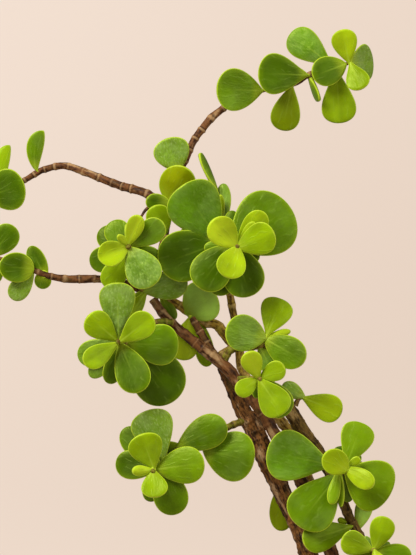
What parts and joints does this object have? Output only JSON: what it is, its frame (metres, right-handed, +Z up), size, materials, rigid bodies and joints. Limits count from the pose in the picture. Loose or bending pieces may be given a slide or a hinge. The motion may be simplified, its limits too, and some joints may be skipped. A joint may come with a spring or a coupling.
{
  "type": "potted elephant bush",
  "caption": "Small succulent shrub with leaning woody stems and round fleshy leaves, in a plain round clay pot.",
  "frame": {"origin": "centre of the pot's flat underside", "axes": "+Z up along the pot's axis, +X to the right and +Y away as the plant is seen from its front; the crown leans to -X"},
  "size_m": [0.2246, 0.112, 0.347],
  "materials": {
    "clay": "matte fired clay with pale bloom",
    "soil": "loose bark-based potting soil",
    "bark": "rough fissured brown bark, smooth reddish twigs",
    "leaf": "satin waxy succulent leaf with yellow-green margin"
  },
  "bodies": {
    "root": {"pot": "clay", "soil": "soil", "stem_left": "bark", "stem_middle": "bark", "stem_right": "bark", "stem_rear": "bark", "branch_top": "leaf", "branch_upper_left": "leaf", "branch_lower_left": "leaf", "rosette_centre": "leaf", "rosette_upper_left": "leaf", "rosette_left": "leaf", "rosette_lower_left": "leaf", "rosette_upper_right": "leaf", "rosette_middle_right": "leaf", "rosette_right": "leaf", "rosette_lower_right": "leaf", "spray_low_right": "leaf", "spray_low_left": "leaf", "spray_low_rear": "leaf"}
  },
  "joints": []
}
